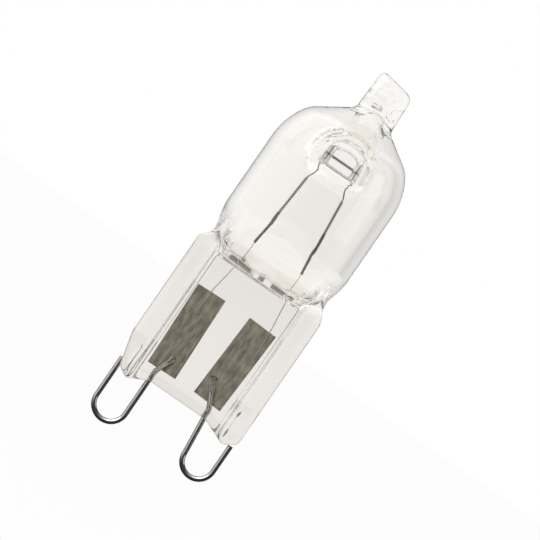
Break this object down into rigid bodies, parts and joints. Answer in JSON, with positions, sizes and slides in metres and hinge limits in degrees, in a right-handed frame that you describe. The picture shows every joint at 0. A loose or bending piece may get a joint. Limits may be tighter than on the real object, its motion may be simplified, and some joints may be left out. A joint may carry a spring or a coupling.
{
  "type": "halogen capsule bulb",
  "caption": "Clear quartz capsule bulb with a domed top, pinched tip, dimple-clamped filament, flat ribbed press seal and bent wire contact loops.",
  "frame": {"origin": "middle of the press seal's bottom edge, between the contact loops", "axes": "+Z along the lamp's axis towards the exhaust tip, +X along the press seal from the left loop to the right one, the front of the press faces -Y"},
  "size_m": [0.0139, 0.0134, 0.0411],
  "materials": {
    "quartz": "clear fused quartz, fire polished",
    "tungsten": "dark drawn tungsten wire",
    "molybdenum_wire": "dull drawn molybdenum wire",
    "molybdenum_foil": "matt, mottled grey-brown foil",
    "base_wire": "bright drawn molybdenum wire"
  },
  "bodies": {
    "root": {"quartz_envelope": "quartz", "filament": "tungsten", "inner_lead_left": "molybdenum_wire", "inner_lead_right": "molybdenum_wire", "foil_left": "molybdenum_foil", "foil_right": "molybdenum_foil", "contact_loop_left": "base_wire", "contact_loop_right": "base_wire"}
  },
  "joints": []
}
